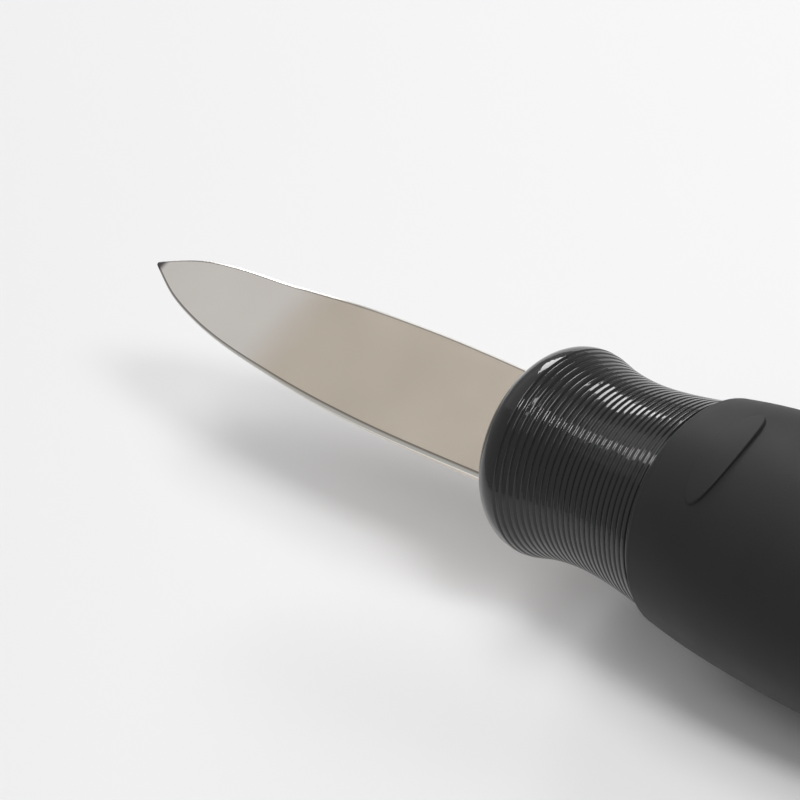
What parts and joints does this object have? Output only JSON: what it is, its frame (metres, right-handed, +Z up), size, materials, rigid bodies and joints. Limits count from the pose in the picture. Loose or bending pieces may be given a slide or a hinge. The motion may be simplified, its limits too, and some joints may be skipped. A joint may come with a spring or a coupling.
{
  "type": "oyster knife",
  "caption": "Oyster knife: short leaf-shaped blade with an upturned tip, a waisted ringed collar and a thick soft grip with a hanging hole.",
  "frame": {"origin": "under the middle of the knife's length and width, on the surface that it lies on", "axes": "+X along the knife toward the blade's tip, +Z up, square to the blade's flat upper face, +Y across the knife"},
  "size_m": [0.19, 0.0372, 0.0339],
  "materials": {
    "blade_steel": "bright, finely polished stainless steel",
    "collar_plastic": "glossy black",
    "core_plastic": "plain black moulding",
    "grip_rubber": "matte charcoal black, soft to the touch",
    "pin_steel": "plain drawn steel"
  },
  "bodies": {
    "root": {"blade": "blade_steel", "collar": "collar_plastic", "core_upper": "core_plastic", "core_lower": "core_plastic", "grip": "grip_rubber", "tang_pin_front": "pin_steel", "tang_pin_middle": "pin_steel", "tang_pin_rear": "pin_steel"}
  },
  "joints": []
}
